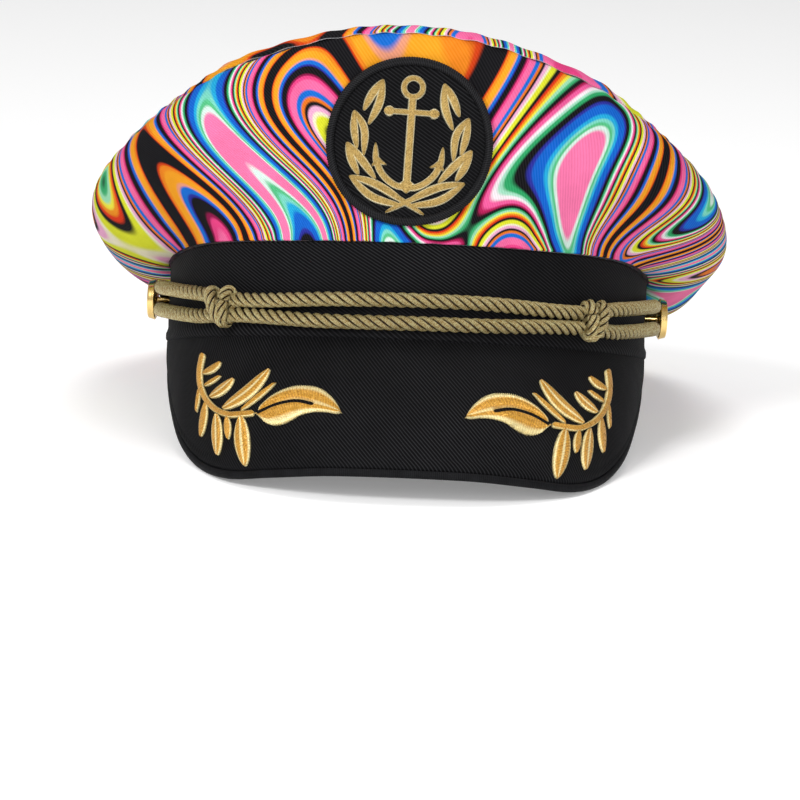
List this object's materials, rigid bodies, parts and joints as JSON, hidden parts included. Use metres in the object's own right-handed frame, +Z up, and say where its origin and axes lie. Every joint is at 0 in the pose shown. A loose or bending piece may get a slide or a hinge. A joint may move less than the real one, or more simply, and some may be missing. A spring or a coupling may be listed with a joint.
{
  "type": "captain hat",
  "caption": "Soft captain hat with a black band and visor, a printed crown that droops at the back, a gold cord and a round anchor patch.",
  "frame": {"origin": "middle of the bounding box, on the surface the hat rests on", "axes": "+Z up, -Y towards the front of the hat, +X towards the wearer's left"},
  "size_m": [0.2266, 0.2816, 0.1508],
  "materials": {
    "black_twill": "matte",
    "black_tape": "matte",
    "black_thread": "satin",
    "printed_cloth": "matte",
    "clear_sheet": "clear",
    "gold_thread": "metallic satin",
    "gold_cord": "metallic satin",
    "gold_metal": "polished"
  },
  "bodies": {
    "root": {"band": "black_twill", "sweatband": "black_tape", "rear_strap": "black_tape", "crown_side": "printed_cloth", "crown_top": "printed_cloth", "front_stiffener": "clear_sheet", "patch_backing": "black_tape", "visor": "black_twill", "visor_piping": "black_tape", "patch_disc": "black_twill", "patch_rim": "black_thread", "patch_anchor": "gold_thread", "wreath_leaf_left_1": "gold_thread", "wreath_leaf_left_2": "gold_thread", "wreath_leaf_left_3": "gold_thread", "wreath_leaf_right_1": "gold_thread", "wreath_leaf_right_2": "gold_thread", "wreath_leaf_right_3": "gold_thread", "wreath_foot": "gold_thread", "visor_sprig_left": "gold_thread", "visor_sprig_right": "gold_thread", "cord_front_upper": "gold_cord", "cord_front_lower": "gold_cord", "cord_loop_left": "gold_cord", "cord_loop_right": "gold_cord", "knot_left": "gold_cord", "knot_right": "gold_cord", "button_left": "gold_metal", "button_right": "gold_metal"}
  },
  "joints": []
}
